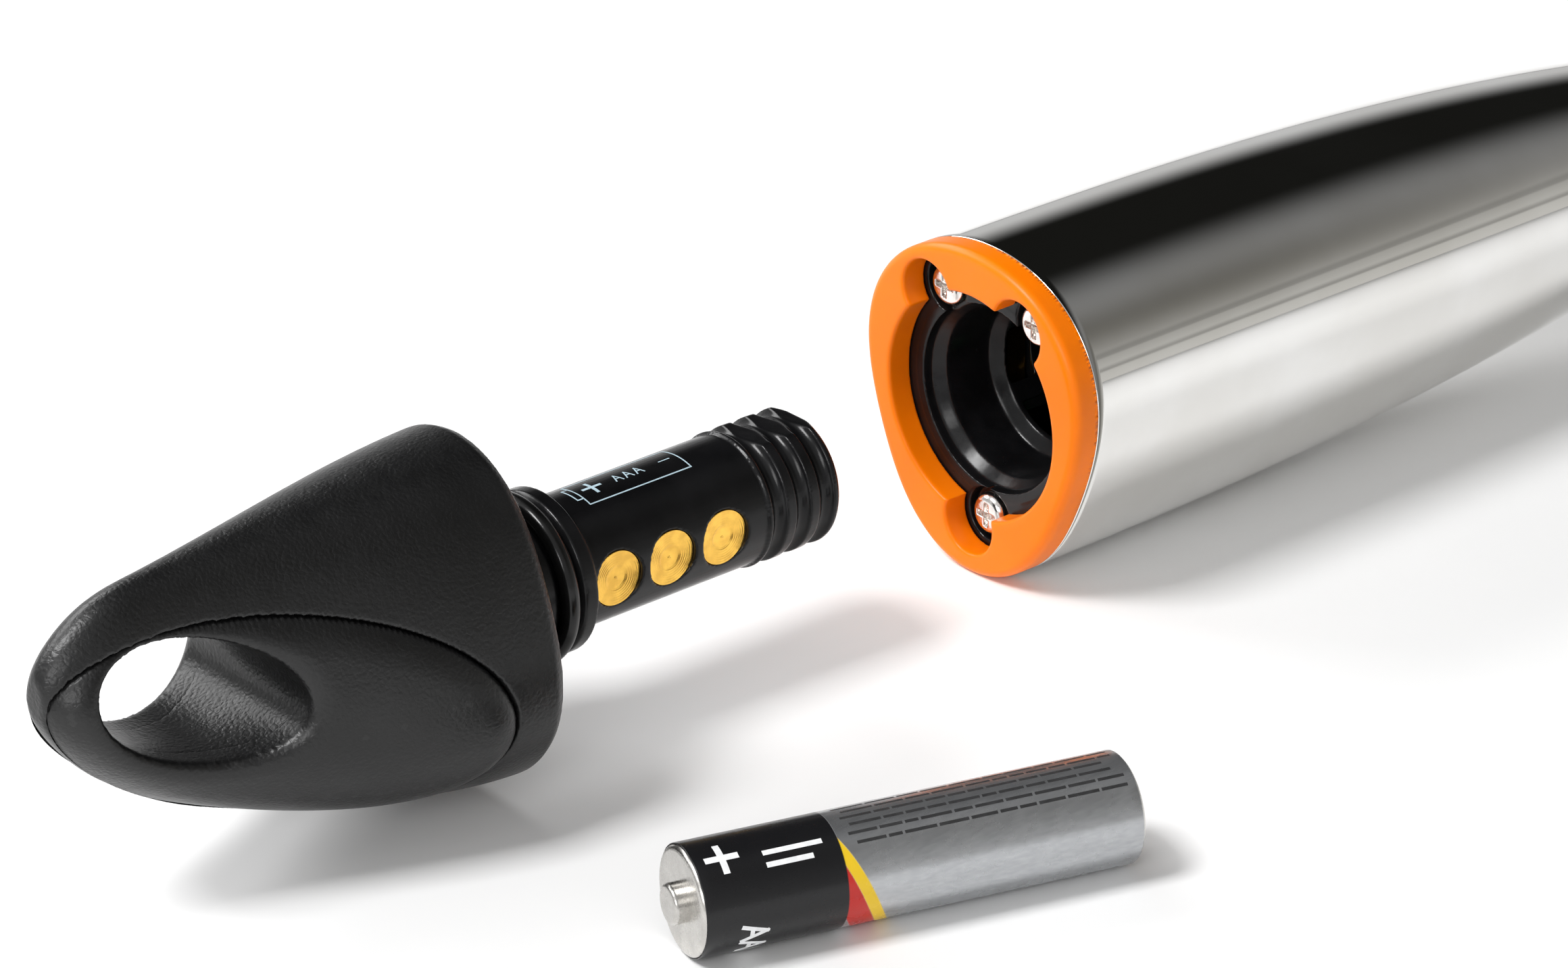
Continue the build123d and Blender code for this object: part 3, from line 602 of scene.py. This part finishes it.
def make_contacts():
    """Three dished gold contacts with fine turned rings and a pip in the middle."""
    rings, spokes = 60, 96
    rim_sunk, middle_sunk, back_sunk, skirt_length = 0.60, 0.72, 0.95, 0.2
    dish_depth, bow_height = 0.16, 0.22
    pip_height, pip_radius = 0.07, 0.16
    well_depth, well_share, well_sharpness = 0.07, 0.42, 60
    turned_share, turned_pitch, turned_depth = 0.95, 0.24, 0.014
    vertices, faces = [], []
    for station in CONTACT_STATIONS:
        x = CAP_BASE_X + station
        base = len(vertices)
        vertices.append((x, -(TUBE_RADIUS - middle_sunk), 0))
        for i in range(1, rings + 1):
            share = i / rings
            r = CONTACT_RADIUS * share
            dish = dish_depth * (1 - share ** 2)
            turned = well_share < share < turned_share
            ripple = turned_depth * math.cos(2 * math.pi * r / turned_pitch) * turned
            pip = pip_height * math.exp(-(r / pip_radius) ** 2)
            well = well_depth / (1 + math.exp((share - well_share) * well_sharpness))
            for j in range(spokes):
                a = 2 * math.pi * j / spokes
                bow = bow_height * (1 - share ** 2 * math.sin(a) ** 2)
                depth = rim_sunk - bow * 0.5 + dish + ripple - pip + well
                vertices.append((x + r * math.cos(a), -(TUBE_RADIUS - depth), r * math.sin(a)))
        last = base + 1 + (rings - 1) * spokes
        skirt = len(vertices)
        for j in range(spokes):
            vx, vy, vz = vertices[last + j]
            vertices.append((vx, vy + skirt_length, vz))
        back = len(vertices)
        vertices.append((x, -(TUBE_RADIUS - back_sunk), 0))
        for j in range(spokes):
            k = (j + 1) % spokes
            faces.append((base, base + 1 + j, base + 1 + k))
            for i in range(rings - 1):
                a = base + 1 + i * spokes
                faces.append((a + j, a + spokes + j, a + spokes + k, a + k))
            faces.append((last + j, skirt + j, skirt + k, last + k))
            faces.append((skirt + j, back, skirt + k))
    piece = new_piece("gold_contacts", vertices, faces)
    outward(piece)
    settle(piece, "cap", "gold", "battery_contacts")


def cell_place(along, girth, out):
    """Point on the loose cell: along from its middle, girth round from the top, out from its skin."""
    lo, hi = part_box("cell_jacket")
    centre = (lo + hi) / 2 / MM
    a = girth / CELL_RADIUS
    r = CELL_RADIUS + out
    y, z = -r * math.sin(a), r * math.cos(a)
    c, s = math.cos(CELL_TURN), math.sin(CELL_TURN)
    return (centre.x + along * c - y * s, centre.y + along * s + y * c, centre.z + z)


def make_cell():
    """The film sleeve with curled-in ends and generic marks on it."""
    spokes, steps, half, curl, film = 128, 48, 21.28, 0.15, 0.08
    profile = [(-half, -0.09), (-half + 0.02, -0.05), (-half + 0.07, -0.02), (-half + curl, -0.01)]
    profile += [(-half + curl + (2 * half - 2 * curl) * i / steps, -0.01) for i in range(1, steps)]
    profile += [(-x, out) for x, out in reversed(profile[:4])]
    vertices, faces = [], []
    for x, out in profile:
        for j in range(spokes):
            vertices.append(cell_place(x, 2 * math.pi * CELL_RADIUS * j / spokes, out))
    for i in range(len(profile) - 1):
        for j in range(spokes):
            k = (j + 1) % spokes
            near, far = i * spokes, (i + 1) * spokes
            faces.append((near + j, near + k, far + k, far + j))
    sleeve = new_piece("cell_sleeve", vertices, faces)
    layer = sleeve.data.uv_layers.new(name="UVMap")
    for polygon in sleeve.data.polygons:
        seam = [sleeve.data.loops[k].vertex_index % spokes for k in polygon.loop_indices]
        for k in polygon.loop_indices:
            index = sleeve.data.loops[k].vertex_index
            turn = index % spokes
            if max(seam) - min(seam) > spokes / 2 and turn == 0:
                turn = spokes
            layer.data[k].uv = ((profile[index // spokes][0] + half) / (2 * half), turn / spokes)
    thick = sleeve.modifiers.new("thick", "SOLIDIFY")
    thick.thickness = film * MM
    thick.offset = -1
    apply_modifiers(sleeve)
    settle(sleeve, "battery", "cell_label", "cell_jacket")

    def place(along, across, up):
        return cell_place(along, across, up - CELL_INK_SUNK)

    size_at, size_girth, letter_pitch, letter_size = -16.6, 9.9, 1.95, 2.3
    size_mark = []
    for i in range(3):
        for stroke in letter_a(0, 0, letter_size, False):
            size_mark.append([(size_at + py, size_girth + letter_pitch * i - px) for px, py in stroke])
    bars = [[(-14.6, 2.6), (-9.4, 2.6)], [(-14.6, 3.8), (-10.6, 3.8)]]

    rows, row_pitch, first_row = 6, 1.0, -1.5
    print_from, print_to, print_limit, stagger, space = -6.4, 19.5, 20.3, 0.5, 0.55
    lines = []
    for row in range(rows):
        x, y = print_from + stagger * (row % 2), first_row + row_pitch * row
        while x < print_to:
            length = 0.9 + 1.9 * abs(math.sin(12.9898 * (x + 7 * row)))     # uneven word lengths
            lines.append([(x, y), (min(x + length, print_limit), y)])
            x += length + space
    for name, paths, width, height, slot in (
        ("cell_size_mark", size_mark, 0.42, 0.016, "white_ink"),
        ("cell_plus_mark", plus(-18.6, 2.2, 2.6), 0.62, 0.016, "white_ink"),
        ("cell_type_bars", bars, 0.5, 0.014, "white_ink"),
        ("cell_fine_print", lines, 0.30, INK_HEIGHT, "chip_black"),
    ):
        settle(joined_ribbons(name, paths, width, place, height), "battery", slot)


def make_moulded_pieces():
    """CAD nodes whose moulded edges are rounded by remeshing."""
    coarse = 1.0
    for node, name, body, slot, voxel, rounds in (
        ("end_ring", "orange_ring", "housing", "orange_plastic", 0.14, 5),
        ("socket_liner", "socket", "housing", "socket_plastic", 0.16, 4),
        ("cap_body", "cap_core", "cap", "cap_plastic", 0.22, 6),
        ("cap_pad_left", "left_pad", "cap", "cap_plastic", 0.20, 14),
        ("cap_pad_right", "right_pad", "cap", "cap_plastic", 0.20, 14),
        ("battery_carrier", "carrier", "cap", "carrier_plastic", 0.13, 5),
        ("ring_screws", "screws", "housing", "screw_steel", 0.07, 3),
    ):
        piece = softened(node, name, voxel * coarse, rounds)
        if node.startswith("cap_pad"):
            round_pad(piece)
        if node == "end_ring":
            square_back(piece)
        settle(piece, body, slot, node)


def dress_nodes():
    """Every CAD node that still shows gets its slot's material and smooth shading."""
    slots = {part["node"]: part["material_slot"] for part in frame["record"]["subparts"]}
    for node, thing in frame["nodes"].items():
        thing.data.materials.clear()
        thing.data.materials.append(material_of(slots[node]))
        thing.data.shade_smooth()
        thing.data.set_sharp_from_angle(angle=math.radians(32))


# ---- surroundings ----
def make_floor():
    """A sheet of pale paper just under the part."""
    mesh = bpy.data.meshes.new("floor")
    reach, clearance = 3.0, 0.00005
    corners = [(-reach, -reach, 0), (reach, -reach, 0), (reach, reach, 0), (-reach, reach, 0)]
    mesh.from_pydata(corners, [], [(0, 1, 2, 3)])
    floor = bpy.data.objects.new("floor", mesh)
    floor.location.z = FLOOR_Z - clearance
    bpy.context.scene.collection.objects.link(floor)
    material, nodes, shader = start_material("floor_paper")
    paper = nodes.mix(nodes.noise(40.0), (0.90, 0.90, 0.90), (0.94, 0.94, 0.94))
    nodes.link(paper, shader.inputs["Base Color"])
    shader.inputs["Roughness"].default_value = 0.7
    mesh.materials.append(material)


def make_world():
    """A pale room with a dark ceiling ahead of the probe and a grey side, which the metal mirrors."""
    world = bpy.data.worlds.new("studio")
    bpy.context.scene.world = world
    world.use_nodes = True
    nodes = Nodes(world.node_tree)
    background = nodes.add("ShaderNodeBackground")
    output = nodes.add("ShaderNodeOutputWorld")
    nodes.link(background.outputs[0], output.inputs[0])
    place = nodes.add("ShaderNodeTexCoord")
    split = nodes.add("ShaderNodeSeparateXYZ")
    nodes.link(place.outputs["Generated"], split.inputs[0])
    x, y, z = split.outputs
    pale_side, pale_low, dark_high = (0.60, 0.60, 0.60), (0.66, 0.65, 0.62), (0.13, 0.124, 0.11)
    streak_colour, ceiling_colour = (0.08, 0.078, 0.072), (0.010, 0.010, 0.009)
    backward = nodes.math("MULTIPLY", y, -1.0)
    ahead = nodes.step(x, -0.15, 0.30)
    near = nodes.math("MULTIPLY", nodes.step(backward, -0.10, 0.60), ahead)
    shade = nodes.mix(nodes.step(z, -0.10, 0.68), pale_low, dark_high)
    shade = nodes.mix(near, pale_side, shade)
    # two darker streaks across the graded side: where each starts and ends, and how strong it is
    for low, high, strength in ((0.10, 0.125, 0.45), (0.255, 0.30, 0.35)):
        streak = nodes.math("MULTIPLY", nodes.step(z, low, low + 0.02), nodes.below(z, high, high + 0.05))
        streak = nodes.math("MULTIPLY", nodes.math("MULTIPLY", streak, near), strength)
        shade = nodes.mix(streak, shade, streak_colour)
    overhead = nodes.math("MULTIPLY", nodes.step(z, 0.10, 0.40), ahead)
    overhead = nodes.math("MULTIPLY", overhead, nodes.below(backward, -0.25, 0.66))
    shade = nodes.mix(overhead, shade, ceiling_colour)
    nodes.link(shade, background.inputs["Color"])
    background.inputs["Strength"].default_value = 0.95


def make_light(name, location, target, size, power):
    """A rectangular area light in metres and watts, facing a target."""
    data = bpy.data.lights.new(name, "AREA")
    data.shape = "RECTANGLE"
    data.size, data.size_y = size
    data.energy = power
    light = bpy.data.objects.new(name, data)
    light.location = location
    light.rotation_mode = "QUATERNION"
    light.rotation_quaternion = (Vector(target) - Vector(location)).to_track_quat("-Z", "Y")
    bpy.context.scene.collection.objects.link(light)


def make_lights():
    middle = (RING_X * MM, 0, 0)
    make_light("key", (-0.80, 0.15, 0.95), middle, (0.35, 0.35), 10)
    make_light("side", (-1.0, -0.5, 0.45), middle, (0.5, 0.3), 3)
    make_light("back", (-0.35, 0.9, 0.6), middle, (1.0, 0.4), 7)


make_camera()
make_materials()
dress_nodes()
make_body_shell()
make_moulded_pieces()
make_contacts()
make_carrier_print()
make_cell()
make_floor()
make_world()
make_lights()
bpy.context.scene.view_settings.view_transform = "Standard"
